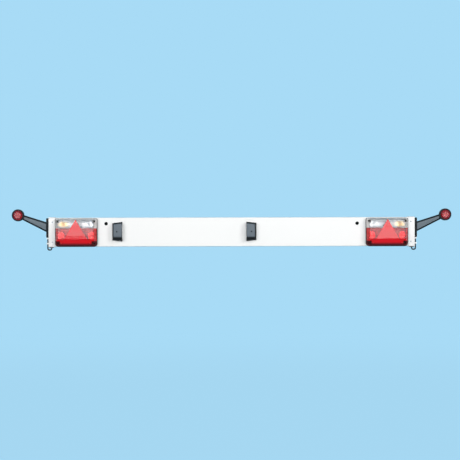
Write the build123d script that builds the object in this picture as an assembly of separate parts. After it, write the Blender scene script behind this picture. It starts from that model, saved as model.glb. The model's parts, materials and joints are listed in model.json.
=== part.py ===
from build123d import *
import os
from math import atan2, degrees

# Trailer lighting board: a long folded channel that carries two rear lamps, two number-plate lamps
# and a rubber marker arm on each end. It is bolted to the back of a trailer by two studs.
# Millimetres. X runs to the right as seen from behind the trailer, Y points forwards along the road
# and Z is up. The origin lies midway between the fixing bolts, on the plane of the channel's back lips.

# Board: one sheet folded to a channel, open at the back between two lips
board_length = 1825.0
board_height = 145.0
board_depth = 40.0
sheet = 2.0
lip = 15.0
fold_radius = 1.5

# End caps: moulded sleeves over the ends of the board
cap_wall = 2.2
cap_clearance = 0.3
cap_skirt = 33.0
cap_screw_inset = 19.0
cap_screw_rise = 50.0
cap_screw_head = 7.0
cap_screw_head_height = 2.5

# Fixing bolts and the bushes that carry them through the channel
bolt_gap = 42.5
bolt_rise = 42.0
bolt_thread = 8.0
bolt_shank = 7.2
bolt_head = 13.0
bolt_head_height = 5.3
bolt_free_length = 25.0
bush_wall = 3.0
hole_clearance = 0.25

# Rear lamps: outline, place on the board, gasket and housing
lamp_width = 210.0
lamp_height = 142.0
lamp_gap = 2.0
lamp_drop = 2.5
lamp_corner_top = 8.0
lamp_corner_bottom = 18.0
gasket_thickness = 2.0
gasket_width = 8.0
gasket_inset = 12.0
housing_depth = 18.0
housing_wall = 3.0
post_width = 14.0
rib_thickness = 3.0
rib_height = 7.0

# Rear lamp lens: a shell with sloping sides, folded along a crease below the middle
lens_wall = 2.5
lens_inset = 1.5
lens_top_depth = 30.0
lens_crease_depth = 34.0
lens_bottom_depth = 14.0
lens_crease_drop = 17.0
lens_crease_radius = 12.0
lens_top_slope = 2.0
lens_side_slope = 14.0
lens_bottom_slope = 3.5
lens_edge = 2.0
lens_floor = 3.0
split_rise = 22.0
triangle_top_gap = 3.0
triangle_bottom_gap = 6.1
triangle_corner = 2.0
triangle_proud = 0.8
triangle_clearance = 0.15

# Lens screws, in corner pockets of the lens
lens_screw_side_inset = 14.0
lens_screw_top_inset = 15.0
lens_screw_bottom_inset = 16.0
lens_screw_head = 7.5
lens_screw_head_height = 3.0
top_pocket = 11.0
bottom_pocket = 25.0

# Reflector tray and wedge-base bulbs
tray_side_gap = 8.0
tray_top_gap = 9.0
tray_bottom_gap = 11.0
tray_depth = 14.0
tray_floor = 2.0
cell_wall = 4.0
cell_rib = 12.0
cell_slope = 4.0
bulb_top_inset = 27.0
bulb_bottom_inset = 14.0
bulb_diameter = 19.0
bulb_glass_length = 24.0
bulb_base_width = 14.4
bulb_base_height = 6.4
bulb_fit = 0.3
bulb_seat = 5.0

# Rear lamp bolts and socket
lamp_bolt_spacing = 152.0
lamp_bolt_rise = 18.5
lamp_bolt_head = 10.0
lamp_bolt_head_height = 4.0
socket_width = 44.0
socket_height = 30.0
socket_setback = 14.0
socket_wall = 4.0
socket_mouth_depth = 14.0
socket_flange_border = 5.0
socket_flange_thickness = 3.0
socket_spigot_inset = 2.0
socket_spigot_length = 6.0
socket_fit = 0.3
cutout_border = 3.0
blade_count = 4
blade_pitch = 8.0
blade_row_pitch = 9.0
blade_width = 4.0
blade_thickness = 1.0
blade_length = 8.0
gland_wall = 2.0
gland_length = 7.0

# Marker arms: one rubber moulding each, with a flange, a tapering arm and a ring for the lamp
flange_thickness = 12.0
flange_depth = 38.0
flange_height = 97.0
flange_rise = 21.5
flange_edge = 2.0
arm_root_height = 50.0
arm_root_depth = 34.0
arm_root_rise = 23.0
arm_tip_height = 25.0
arm_tip_depth = 22.0
arm_edge = 8.0
head_reach = 155.0
head_rise = 85.0
ring_wall = 6.5
ring_width = 26.0
marker_lens_diameter = 46.6
marker_lens_face = 30.0
marker_lens_proud = 8.0
marker_unit_width = 12.0
marker_unit_side = 30.0
marker_fit = 0.2
arm_bolt_head = 8.0
arm_bolt_head_height = 3.5
arm_bolt_inset = 11.0

# Marker leads: clipped down the end cap, then up through a grommet into the board
lead_diameter = 7.0
lead_fit = 0.2
grommet_inset = 13.0
grommet_wall = 2.6
grommet_brim = 3.5
grommet_thickness = 3.0
lead_hook = 9.0
lead_bend = 25.0
lead_drop = 11.0
clip_width = 7.0
clip_wall = 2.0
clip_foot = 18.0
clip_gap = 0.5
clip_pitch = 26.0

# Number-plate lamps, one on each side of the plate
plate_lamp_gap = 31.5
plate_space = 620.0
plate_lamp_width = 50.0
plate_lamp_tall = 98.0
plate_lamp_short = 86.0
plate_lamp_depth = 40.0
plate_lamp_rise = 2.0
plate_base_thickness = 4.0
plate_wall = 2.5
plate_draft = 12.0
plate_edge_radius = 4.0
plate_lens_height = 66.0
plate_lens_depth = 18.0
plate_lens_lip = 3.0
plate_lens_fit = 0.2
plate_lens_lift = 5.0
plate_spigot_width = 16.0
plate_spigot_height = 24.0
plate_spigot_wall = 2.0
plate_spigot_fit = 0.3
plate_hook_reach = 2.0
plate_hook_length = 5.0
plate_screw_head = 7.0
plate_screw_head_height = 2.5
plate_bulb_diameter = 10.0
plate_bulb_length = 34.0
plate_bulb_glass = 26.0
plate_bulb_cap = 6.0
plate_bulb_setback = 13.5
plate_bulb_depth = 22.0
contact_width = 8.0
contact_thickness = 1.5

# Places worked out from the sizes
mid_z = -bolt_rise
front_y = -board_depth
web_back_y = front_y + sheet
bottom_z = mid_z - board_height / 2
end_x = board_length / 2 + cap_clearance + cap_wall
cap_front_y = front_y - cap_clearance - cap_wall
cap_bottom_z = bottom_z - cap_clearance - cap_wall
lamp_x = end_x - cap_skirt - lamp_gap - lamp_width / 2
lamp_z = mid_z - lamp_drop
bolt_x = lamp_x - lamp_width / 2 - bolt_gap
bolt_hole = bolt_thread / 2 + hole_clearance
marker_y = cap_front_y / 2
head_x = end_x + head_reach
head_z = mid_z + head_rise
ring_bore = marker_lens_diameter / 2 + marker_fit
lead_radius = lead_diameter / 2
lead_x = end_x + flange_thickness / 2
grommet_x = end_x - grommet_inset
flange_bottom_z = mid_z + flange_rise - flange_height / 2
back_wall = gasket_thickness + housing_wall
rim = gasket_thickness + housing_depth
tray_back = back_wall + rib_height
lens_half_width = lamp_width / 2 - lens_inset
lens_half_height = lamp_height / 2 - lens_inset
screw_u = lamp_width / 2 - lens_screw_side_inset
screw_top_w = lamp_height / 2 - lens_screw_top_inset
screw_bottom_w = -lamp_height / 2 + lens_screw_bottom_inset
tray_half_width = lamp_width / 2 - tray_side_gap
bulb_top_u = screw_u - bulb_top_inset
bulb_bottom_u = screw_u - bulb_bottom_inset
bulb_top_w = (lens_half_height - tray_top_gap + split_rise) / 2
bulb_bottom_w = -lens_crease_drop
plate_left_x = -bolt_x + plate_lamp_gap + plate_lamp_width
plate_mid_x = plate_left_x + plate_space / 2
plate_x = plate_left_x + plate_space
plate_z = mid_z + plate_lamp_rise
plate_mirror_plane = Plane.YZ.offset(plate_mid_x)

nodes = {}


def rod_y(radius, y0, y1, x, z):
    """A round bar along Y from y0 to y1."""
    return Pos(x, (y0 + y1) / 2, z) * Rot(90, 0, 0) * Cylinder(radius, abs(y1 - y0))


def block(x, y, z):
    """A box between two bounds along each of X, Y and Z."""
    middle = Pos(sum(x) / 2, sum(y) / 2, sum(z) / 2)
    return middle * Box(abs(x[1] - x[0]), abs(y[1] - y[0]), abs(z[1] - z[0]))


def slab_place(x, z, depth):
    """A place on the board's face, a depth in front of it, with X right, Y up and Z forwards."""
    return Plane(origin=(x, front_y - depth, z), x_dir=(1, 0, 0), z_dir=(0, -1, 0)).location


def slab(x, z, sketch, depth0, depth1, draft=0):
    """A sketch on the board's face, carried forwards from depth0 to depth1."""
    return slab_place(x, z, depth0) * extrude(sketch, depth1 - depth0, taper=draft)


def span(low, high, bottom, top):
    """A rectangle between two widths and two heights."""
    return Pos((low + high) / 2, (bottom + top) / 2) * Rectangle(high - low, top - bottom)


def hex_head(across_flats, height):
    """The hexagon head of a small screw, which stands on the origin along Z."""
    return extrude(RegularPolygon(across_flats / 2, 6, major_radius=False), height)


def both_sides(name, solid):
    """A right-hand piece and its mirror image on the left end of the board."""
    nodes["right_" + name] = solid
    nodes["left_" + name] = mirror(solid, about=Plane.YZ)


def pairs(solids):
    """Identical pieces on both ends of the board, as separate solids of one node."""
    return Compound(solids + [mirror(solid, about=Plane.YZ) for solid in solids])


def plate_sides(name, solid):
    """A piece of the right number-plate lamp and its mirror image on the plate's other side."""
    nodes["right_" + name] = solid
    nodes["left_" + name] = mirror(solid, about=plate_mirror_plane)


def plate_pairs(solids):
    """Identical pieces of both number-plate lamps, as separate solids of one node."""
    return Compound(solids + [mirror(solid, about=plate_mirror_plane) for solid in solids])


# Board and end caps
def board_outline():
    """Outer outline of the channel's section, with depth along X and height along Y."""
    return Pos(-board_depth / 2, mid_z) * RectangleRounded(board_depth, board_height, fold_radius + sheet)


def lead_entry(grow):
    """The square bar round a marker lead where it passes up into the board, grown by an amount."""
    half = lead_radius + lead_fit + grow
    return block((grommet_x - half, grommet_x + half), (marker_y - half, marker_y + half),
                 (cap_bottom_z - grommet_thickness, bottom_z + 2 * sheet))


def board_channel():
    """The folded channel with its bolt holes, lamp cut-outs and cable entries."""
    outline = board_outline()
    mouth = Pos(0, mid_z) * Rectangle(3 * sheet, board_height - 2 * lip)
    section = outline - offset(outline, -sheet) - mouth
    board = extrude(Plane.YZ * section, board_length / 2, both=True)
    border = 2 * socket_flange_border + 2 * cutout_border
    cutout = slab(lamp_x, lamp_z, Rectangle(socket_width + border, socket_height + border), -2 * sheet, sheet)
    bolt = rod_y(bolt_hole, front_y - sheet, web_back_y + sheet, bolt_x, 0)
    entry = lead_entry(grommet_wall + hole_clearance)
    spigot = plate_spigot_block(plate_spigot_fit, -2 * sheet, sheet)
    holes = [cutout, bolt, entry]
    holes += [mirror(hole, about=Plane.YZ) for hole in holes]
    return board - holes - [spigot, mirror(spigot, about=plate_mirror_plane)]


def end_cap():
    """The right end cap: an end wall with skirts at the front, top and bottom, open at the back."""
    outer = offset(board_outline(), cap_clearance + cap_wall)
    inner = offset(board_outline(), cap_clearance)
    cap = extrude(Plane.YZ.offset(end_x - cap_skirt) * outer, cap_skirt)
    cap -= extrude(Plane.YZ.offset(end_x - cap_skirt) * inner, cap_skirt - cap_wall)
    behind = block((end_x - 2 * cap_skirt, end_x + cap_skirt), (0, board_depth),
                   (mid_z - board_height, mid_z + board_height))
    return cap - behind - lead_entry(grommet_wall + hole_clearance)


def end_cap_screws():
    """The heads of the four screws that hold the end caps to the board's face."""
    head = Rot(90, 0, 0) * hex_head(cap_screw_head, cap_screw_head_height)
    return pairs([Pos(end_x - cap_screw_inset, cap_front_y, mid_z + end * cap_screw_rise) * head
                  for end in (1, -1)])


def fixing_bolt():
    """A hexagon bolt with a thinner shank, whose thread stands out behind the board."""
    bolt = Pos(bolt_x, front_y, 0) * Rot(90, 0, 0) * hex_head(bolt_head, bolt_head_height)
    bolt += slab(bolt_x, 0, RegularPolygon(bolt_shank / 2, 8), -board_depth, 0)
    return bolt + rod_y(bolt_thread / 2, 0, bolt_free_length, bolt_x, 0)


def spacer_bush():
    """A length of square tube round the fixing bolt, from the board's front wall to the plane of its lips."""
    outside = 2 * (bolt_hole + bush_wall)
    section = Rectangle(outside, outside) - Rectangle(2 * bolt_hole, 2 * bolt_hole)
    return slab(bolt_x, 0, section, -board_depth, -sheet)


# Rear lamps
def lamp_outline():
    """Outline of a rear lamp, with tighter corners at the top than at the bottom."""
    outline = Rectangle(lamp_width, lamp_height)
    outline = fillet(outline.vertices().group_by(Axis.Y)[0], lamp_corner_bottom)
    return fillet(outline.vertices().group_by(Axis.Y)[-1], lamp_corner_top)


def lens_screw_places():
    """Places of a rear lamp's four lens screws, from the lamp's centre."""
    return [(side * screw_u, height) for side in (1, -1) for height in (screw_top_w, screw_bottom_w)]


def bulb_places():
    """Places of a rear lamp's four bulbs: indicator, reversing, tail and fog."""
    rows = [(bulb_top_u, bulb_top_w), (bulb_bottom_u, bulb_bottom_w)]
    return [(side * u, w) for u, w in rows for side in (1, -1)]


def lamp_gasket():
    """A flat seal between the lamp's housing and the board."""
    outer = offset(lamp_outline(), -gasket_inset)
    return slab(lamp_x, lamp_z, outer - offset(outer, -gasket_width), 0, gasket_thickness)


def lamp_housing():
    """A shallow tray with screw posts, ribs under the reflector and a window for the socket."""
    outline = lamp_outline()
    housing = slab(lamp_x, lamp_z, outline, gasket_thickness, rim)
    housing -= slab(lamp_x, lamp_z, offset(outline, -housing_wall), back_wall, rim)
    for u, w in lens_screw_places():
        housing += slab(lamp_x, lamp_z, Pos(u, w) * Rectangle(post_width, post_width), back_wall, rim)
    rib_u = socket_width / 2 + socket_flange_border
    for low in (rib_u, -rib_u - rib_thickness):
        rib = span(low, low + rib_thickness, screw_bottom_w, screw_top_w)
        housing += slab(lamp_x, lamp_z, rib, back_wall, tray_back)
    window = Rectangle(socket_width - 2 * socket_spigot_inset + 2 * socket_fit,
                       socket_height - 2 * socket_spigot_inset + 2 * socket_fit)
    return housing - slab(lamp_x, lamp_z, window, 0, back_wall)


def reaches_back(edge, base_y):
    """Whether a straight edge runs forwards from the back plane of a form."""
    ends = [vertex.Y for vertex in edge.vertices()]
    return max(ends) > base_y - 0.01 and min(ends) < base_y - 0.01


def lens_form(grow, back):
    """The closed outer form of the lens, grown by an amount and carried back behind the rim."""
    top = lens_half_height + lens_top_slope * back / lens_top_depth
    bottom = -lens_half_height - lens_bottom_slope * back / lens_bottom_depth
    side = lens_half_width + lens_side_slope * back / lens_crease_depth
    reach = rim + lens_crease_depth
    profile = Polygon((rim - back, bottom), (rim - back, top),
                      (rim + lens_top_depth, lens_half_height - lens_top_slope),
                      (reach, -lens_crease_drop),
                      (rim + lens_bottom_depth, lens_bottom_slope - lens_half_height), align=None)
    plan = Polygon((-side, rim - back), (side, rim - back),
                   (lens_half_width - lens_side_slope, reach),
                   (lens_side_slope - lens_half_width, reach), align=None)
    if grow:
        profile = offset(profile, grow, kind=Kind.INTERSECTION)
        plan = offset(plan, grow, kind=Kind.INTERSECTION)
    profile_plane = Plane(origin=(lamp_x, front_y, lamp_z), x_dir=(0, -1, 0), z_dir=(-1, 0, 0))
    plan_plane = Plane(origin=(lamp_x, front_y, lamp_z), x_dir=(1, 0, 0), z_dir=(0, 0, -1))
    form = extrude(profile_plane * profile, lamp_width, both=True)
    form &= extrude(plan_plane * plan, lamp_height, both=True)
    base_y = form.bounding_box().max.Y
    corners = [edge for edge in form.edges() if reaches_back(edge, base_y)]
    form = fillet([edge for edge in corners if edge.center().Z > lamp_z], lamp_corner_top - lens_inset + grow)
    corners = [edge for edge in form.edges() if reaches_back(edge, base_y)]
    return fillet([edge for edge in corners if edge.center().Z < lamp_z],
                  lamp_corner_bottom - lens_inset + grow)


def front_faces(form):
    """The faces of a lens form that look backwards along the road."""
    return [face for face in form.faces() if face.normal_at().Y < -0.7]


def rounded_lens_form():
    """The lens's outer form with a rounded crease and bevelled front edges."""
    form = lens_form(0, 0)
    upper, lower = front_faces(form)
    form = fillet([edge for edge in upper.edges() if edge in lower.edges()], lens_crease_radius)
    edges = [edge for face in front_faces(form) for edge in face.edges()]
    return chamfer([edge for edge in edges if edges.count(edge) == 1], lens_edge)


def pocket(u, w, grow):
    """Outline of the pocket round a lens screw: square at the top, open to the corner at the bottom."""
    if w > 0:
        half = top_pocket / 2 + grow
        outline = span(screw_u - half, screw_u + half, w - half, w + half)
    else:
        half = bottom_pocket / 2 + grow
        outline = span(screw_u - half, lamp_width, -lamp_height, w + half)
    return outline if u > 0 else mirror(outline, about=Plane.YZ)


def triangle_outline():
    """The equal-sided triangle of the reflector, with rounded corners."""
    apex = lens_half_height - triangle_top_gap
    base = triangle_bottom_gap - lens_half_height
    half_side = (apex - base) / 3 ** 0.5
    outline = Polygon((-half_side, base), (half_side, base), (0, apex), align=None)
    return fillet(outline.vertices(), triangle_corner)


def lens_shell():
    """The whole lens: a shell with screw pockets in its corners and a window for the triangle."""
    front = rim + 2 * lens_crease_depth
    outer = rounded_lens_form()
    shell = outer - lens_form(-lens_wall, 2 * lens_wall)
    cuts = [slab(lamp_x, lamp_z, triangle_outline(), rim, front)]
    for u, w in lens_screw_places():
        shell += outer & slab(lamp_x, lamp_z, pocket(u, w, lens_wall), rim, front)
        cuts.append(slab(lamp_x, lamp_z, pocket(u, w, 0), rim + lens_floor, front))
    return shell - cuts


def lens_part(shell, bottom, top):
    """The stretch of the lens between two heights."""
    return shell & slab(lamp_x, lamp_z, span(-lamp_width, lamp_width, bottom, top), 0, 2 * lamp_height)


def triangle_reflector():
    """The triangular reflector, folded over the crease and a little proud of the lens."""
    band = lens_form(triangle_proud, 0) - lens_form(-lens_wall, 2 * lens_wall)
    outline = offset(triangle_outline(), -triangle_clearance)
    return band & slab(lamp_x, lamp_z, outline, rim, rim + 2 * lens_crease_depth)


def lens_screws():
    """The heads of the screws that hold the lenses to their housings."""
    head = Rot(90, 0, 0) * hex_head(lens_screw_head, lens_screw_head_height)
    return pairs([Pos(lamp_x + u, front_y - rim - lens_floor, lamp_z + w) * head
                  for u, w in lens_screw_places()])


def reflector_cell(u, w):
    """A tapering cell of the reflector tray, from its floor out to its mouth, clear of the screw's corner."""
    if w > split_rise:
        screw_w = screw_top_w
        bottom, top = split_rise + cell_wall / 2, lens_half_height - tray_top_gap - cell_wall
    else:
        screw_w = screw_bottom_w
        bottom, top = tray_bottom_gap - lens_half_height + cell_wall, split_rise - cell_wall / 2
    mouth = span(cell_rib / 2, tray_half_width - cell_wall, bottom, top)
    if u < 0:
        mouth = mirror(mouth, about=Plane.YZ)
    deep = tray_depth - tray_floor
    narrowing = degrees(atan2(cell_slope, deep))
    cell = mirror(extrude(mouth, deep, taper=narrowing), about=Plane.XY)
    corner = pocket(u, screw_w, lens_wall + bulb_fit + cell_wall)
    front = tray_back + tray_depth
    return slab_place(lamp_x, lamp_z, front) * cell - slab(lamp_x, lamp_z, corner, tray_back, front)


def lamp_reflector():
    """The reflector tray: four cells, each with a slot for the foot of its bulb."""
    tray = span(-tray_half_width, tray_half_width,
                tray_bottom_gap - lens_half_height, lens_half_height - tray_top_gap)
    for u, w in lens_screw_places():
        tray -= pocket(u, w, lens_wall + bulb_fit)
    slot = Rectangle(bulb_base_width + 2 * bulb_fit, bulb_base_height + 2 * bulb_fit)
    for place in bulb_places():
        tray -= Pos(*place) * slot
    reflector = slab(lamp_x, lamp_z, tray, tray_back, tray_back + tray_depth)
    return reflector - [reflector_cell(u, w) for u, w in bulb_places()]


def bulb(u, w):
    """A wedge-base bulb that stands on the housing's back wall and reaches through the tray."""
    shoulder = tray_back + tray_floor + bulb_seat
    foot = slab(lamp_x, lamp_z, Pos(u, w) * Rectangle(bulb_base_width, bulb_base_height), back_wall, shoulder)
    glass = Pos(u, w) * RegularPolygon(bulb_diameter / 2, 8)
    return foot + slab(lamp_x, lamp_z, glass, shoulder, shoulder + bulb_glass_length)


def lamp_bolts():
    """The heads of the bolts that hold the rear lamps, behind the board's front wall."""
    head = Rot(-90, 0, 0) * hex_head(lamp_bolt_head, lamp_bolt_head_height)
    return pairs([Pos(lamp_x + end * lamp_bolt_spacing / 2, web_back_y, lamp_z + lamp_bolt_rise) * head
                  for end in (1, -1)])


def lamp_socket():
    """The wiring socket behind a rear lamp: flange, spigot, open mouth, blades and a side gland."""
    back_end = socket_setback - board_depth
    mouth_floor = back_end + socket_mouth_depth
    seat = gasket_thickness
    flange = Rectangle(socket_width + 2 * socket_flange_border, socket_height + 2 * socket_flange_border)
    spigot = Rectangle(socket_width - 2 * socket_spigot_inset, socket_height - 2 * socket_spigot_inset)
    mouth = Rectangle(socket_width - 2 * socket_wall, socket_height - 2 * socket_wall)
    socket = slab(lamp_x, lamp_z, Rectangle(socket_width, socket_height), back_end, seat)
    socket += slab(lamp_x, lamp_z, flange, seat - socket_flange_thickness, seat)
    socket += slab(lamp_x, lamp_z, spigot, seat, seat + socket_spigot_length)
    socket -= slab(lamp_x, lamp_z, mouth, back_end, mouth_floor)
    for place in GridLocations(blade_pitch, blade_row_pitch, blade_count, 2):
        blade = place * Rectangle(blade_width, blade_thickness)
        socket += slab(lamp_x, lamp_z, blade, mouth_floor - blade_length, mouth_floor)
    return socket + lead_gland(lead_fit + gland_wall) - lead_gland(lead_fit)


def lead_gland(grow):
    """The square bar round a lead's end on the side of the socket, grown by an amount."""
    half = lead_radius + grow
    side_x = lamp_x + socket_width / 2
    return block((side_x, side_x + gland_length), (marker_y - half, marker_y + half),
                 (lamp_z - half, lamp_z + half))


# Marker arms and their leads
def marker_arm():
    """A rubber arm: a flange on the end cap, a tapering arm and the ring that grips the lamp."""
    flange = Box(flange_thickness, flange_depth, flange_height)
    flange = chamfer(flange.faces().sort_by(Axis.X)[-1].edges(), flange_edge)
    near_y = marker_y - ring_width / 2
    far_y = marker_y + ring_width / 2
    arm = Pos(lead_x, marker_y, mid_z + flange_rise) * flange + arm_taper()
    arm += rod_y(ring_bore + ring_wall, near_y, far_y, head_x, head_z)
    return arm - rod_y(ring_bore, near_y, far_y, head_x, head_z)


def arm_taper():
    """The arm between flange and ring: it tapers in both views and has bevelled long edges."""
    root = Vector(lead_x, mid_z + arm_root_rise)
    head = Vector(head_x, head_z)
    along = (head - root).normalized()
    across = along.rotate(Axis.Z, 90) * (arm_tip_height / 2)
    tip = head - along * (ring_bore + ring_wall / 2)
    half_root = Vector(0, arm_root_height / 2)
    side_view = Polygon(root - half_root, tip - across, tip + across, root + half_root, align=None)
    tip_x = (tip - across).X
    plan = Polygon((lead_x, -arm_root_depth / 2), (tip_x, -arm_tip_depth / 2),
                   (tip_x, arm_tip_depth / 2), (lead_x, arm_root_depth / 2), align=None)
    arm = Pos(0, marker_y, 0) * Rot(90, 0, 0) * extrude(side_view, arm_root_depth, both=True)
    arm &= Pos(0, marker_y, mid_z) * extrude(plan, 2 * head_rise, both=True)
    long_edges = [edge for edge in arm.edges() if edge.length > head_reach / 2]
    return chamfer(long_edges, arm_edge)


def marker_lens():
    """The bevelled lens on the side of a marker lamp that faces backwards along the road."""
    brim_y = marker_y - ring_width / 2
    bevel = Cone(marker_lens_diameter / 2, marker_lens_face / 2, marker_lens_proud)
    lens = rod_y(marker_lens_diameter / 2, marker_y - marker_unit_width / 2, brim_y, head_x, head_z)
    return lens + Pos(head_x, brim_y - marker_lens_proud / 2, head_z) * Rot(90, 0, 0) * bevel


def marker_light_unit():
    """The square block with the light sources, between the two lenses of a marker lamp."""
    return Pos(head_x, marker_y, head_z) * Box(marker_unit_side, marker_unit_width, marker_unit_side)


def marker_arm_bolts():
    """The heads of the bolts that hold the marker arms to the end caps."""
    head = Rot(0, 90, 0) * hex_head(arm_bolt_head, arm_bolt_head_height)
    rise = flange_height / 2 - arm_bolt_inset
    return pairs([Pos(end_x + flange_thickness, marker_y, mid_z + flange_rise + end * rise) * head
                  for end in (1, -1)])


def marker_lead():
    """A marker lamp's lead, drawn six-sided: down the end cap, under the board and up to the socket."""
    low_z = cap_bottom_z - grommet_thickness - lead_drop
    points = [Vector(lead_x, marker_y, flange_bottom_z), Vector(lead_x, marker_y, low_z),
              Vector(grommet_x, marker_y, low_z), Vector(grommet_x, marker_y, lamp_z),
              Vector(lamp_x + socket_width / 2, marker_y, lamp_z)]
    path = FilletPolyline(*points, radius=[lead_hook, lead_hook, lead_bend])
    section = Plane(origin=points[0], z_dir=(0, 0, -1)) * RegularPolygon(lead_radius, 6)
    lead = sweep(section, path=path)
    print("lead length", round(path.length, 1), "bend radii", lead_hook, lead_bend,
          "volume share", round(lead.volume / (section.area * path.length), 4))
    return lead


def lead_clips():
    """The clips that hold the marker leads to the end caps: a foot and a strap over the lead."""
    hold = lead_radius + lead_fit
    foot = span(end_x, end_x + clip_wall, marker_y - clip_foot / 2, marker_y + clip_foot / 2)
    strap = span(end_x, lead_x + hold + clip_wall, marker_y - hold - clip_wall, marker_y + hold + clip_wall)
    section = foot + strap - span(lead_x - hold, lead_x + hold, marker_y - hold, marker_y + hold)
    low_z = flange_bottom_z - clip_gap - clip_width
    return pairs([extrude(Plane.XY.offset(low_z - step * clip_pitch) * section, clip_width)
                  for step in (0, 1)])


def lead_grommet():
    """A square rubber grommet through the end cap and the board's bottom wall."""
    half = lead_radius + lead_fit + grommet_wall + grommet_brim
    brim = block((grommet_x - half, grommet_x + half), (marker_y - half, marker_y + half),
                 (cap_bottom_z - grommet_thickness, cap_bottom_z))
    return brim + lead_entry(grommet_wall) - lead_entry(0)


# Number-plate lamps
def plate_outline(reach):
    """The lamp's tapering outline, carried on past its lens side by a reach."""
    slope = (plate_lamp_tall - plate_lamp_short) / 2 / plate_lamp_width
    near = plate_lamp_tall / 2 + slope * reach
    far = plate_lamp_short / 2
    return Polygon((-reach, -near), (plate_lamp_width, -far), (plate_lamp_width, far), (-reach, near),
                   align=None)


def plate_spigot_block(grow, depth0, depth1):
    """The bar of the base's snap-in spigot between two depths, grown by an amount."""
    outline = Rectangle(plate_spigot_width + 2 * grow, plate_spigot_height + 2 * grow)
    return slab(plate_x, plate_z, Pos(plate_lamp_width / 2, 0) * outline, depth0, depth1)


def plate_base():
    """The flat base with a hollow spigot whose two hooks snap in behind the board's front wall."""
    hook_end = -sheet - plate_hook_length
    base = slab(plate_x, plate_z, plate_outline(0), 0, plate_base_thickness)
    base += plate_spigot_block(0, hook_end, 0)
    hooks = Rectangle(plate_spigot_width / 2, plate_spigot_height + 2 * (plate_spigot_fit + plate_hook_reach))
    base += slab(plate_x, plate_z, Pos(plate_lamp_width / 2, 0) * hooks, hook_end, -sheet)
    return base - plate_spigot_block(-plate_spigot_wall, hook_end, plate_base_thickness)


def plate_cover():
    """The sloping cover: a drafted shell, cut off square on the side of its lens."""
    outline = plate_outline(plate_lamp_width)
    beyond = span(-3 * plate_lamp_width, 0, -plate_lamp_tall, plate_lamp_tall)
    outer = slab(plate_x, plate_z, outline, plate_base_thickness, plate_lamp_depth, draft=plate_draft)
    outer -= slab(plate_x, plate_z, beyond, 0, 2 * plate_lamp_depth)
    front = outer.faces().sort_by(Axis.Y)[0]
    outer = fillet([edge for edge in front.edges() if edge.center().X > plate_x + 1], plate_edge_radius)
    inner = slab(plate_x, plate_z, offset(outline, -plate_wall, kind=Kind.INTERSECTION),
                 plate_base_thickness, plate_lamp_depth - plate_wall, draft=plate_draft)
    inner -= slab(plate_x, plate_z, Pos(plate_wall, 0) * beyond, 0, 2 * plate_lamp_depth)
    return outer - inner - plate_window(0)


def plate_window(grow):
    """The block of the lens window in the cover's side wall, grown by an amount all round."""
    middle = plate_base_thickness + plate_lens_lift + plate_lens_depth / 2
    window = Box(plate_wall, plate_lens_depth + 2 * grow, plate_lens_height + 2 * grow)
    return Pos(plate_x + plate_wall / 2, front_y - middle, plate_z) * window


def plate_lens():
    """The clear lens towards the plate, with a lip behind the cover's wall."""
    return plate_window(-plate_lens_fit) + Pos(plate_wall, 0, 0) * plate_window(plate_lens_lip)


def plate_bulb():
    """A festoon bulb, upright behind the lens: a glass tube with a square cap at each end."""
    x = plate_x + plate_bulb_setback
    y = front_y - plate_bulb_depth
    caps = Box(plate_bulb_cap, plate_bulb_cap, plate_bulb_length)
    glass = extrude(RegularPolygon(plate_bulb_diameter / 2, 8), plate_bulb_glass / 2, both=True)
    return Pos(x, y, plate_z) * (glass + caps)


def plate_contacts():
    """The two spring blades that carry a festoon bulb by its ends."""
    x = plate_x + plate_bulb_setback
    front = front_y - plate_bulb_depth - plate_bulb_diameter / 2
    blades = []
    for end in (1, -1):
        inner_z = plate_z + end * plate_bulb_length / 2
        blades.append(block((x - contact_width / 2, x + contact_width / 2),
                            (front, front_y - plate_base_thickness),
                            (inner_z, inner_z + end * contact_thickness)))
    return blades


def plate_screw():
    """The head of the screw that holds the cover, in the middle of its front."""
    head = Rot(90, 0, 0) * hex_head(plate_screw_head, plate_screw_head_height)
    return Pos(plate_x + plate_lamp_width / 2, front_y - plate_lamp_depth, plate_z) * head


nodes["board_channel"] = board_channel()
both_sides("end_cap", end_cap())
nodes["end_cap_screws"] = end_cap_screws()
nodes["fixing_bolts"] = pairs([fixing_bolt()])
nodes["spacer_bushes"] = pairs([spacer_bush()])

lens = lens_shell()
both_sides("lamp_gasket", lamp_gasket())
both_sides("lamp_housing", lamp_housing())
both_sides("lamp_reflector", lamp_reflector())
both_sides("clear_lens", lens_part(lens, split_rise, lamp_height))
both_sides("red_lens", lens_part(lens, -lamp_height, split_rise))
both_sides("triangle_reflector", triangle_reflector())
for use, place in zip(("indicator", "reversing", "tail", "fog"), bulb_places()):
    nodes[use + "_bulbs"] = pairs([bulb(*place)])
nodes["lens_screws"] = lens_screws()
nodes["lamp_bolts"] = lamp_bolts()
nodes["lamp_sockets"] = pairs([lamp_socket()])

both_sides("marker_arm", marker_arm())
nodes["marker_red_lenses"] = pairs([marker_lens()])
nodes["marker_clear_lenses"] = pairs([mirror(marker_lens(), about=Plane.XZ.offset(-marker_y))])
nodes["marker_light_units"] = pairs([marker_light_unit()])
nodes["marker_arm_bolts"] = marker_arm_bolts()
nodes["marker_leads"] = pairs([marker_lead()])
nodes["lead_clips"] = lead_clips()
nodes["lead_grommets"] = pairs([lead_grommet()])

plate_sides("plate_lamp_base", plate_base())
plate_sides("plate_lamp_cover", plate_cover())
plate_sides("plate_lamp_lens", plate_lens())
nodes["plate_lamp_bulbs"] = plate_pairs([plate_bulb()])
nodes["plate_lamp_contacts"] = plate_pairs(plate_contacts())
nodes["plate_lamp_screws"] = plate_pairs([plate_screw()])

os.makedirs("parts", exist_ok=True)
for name, shape in nodes.items():
    export_step(shape, "parts/" + name + ".step")
print(len(nodes), "nodes")
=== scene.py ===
"""Looks of the trailer lighting board: a white folded board with its lamps and marker arms."""
import json
import math

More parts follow.
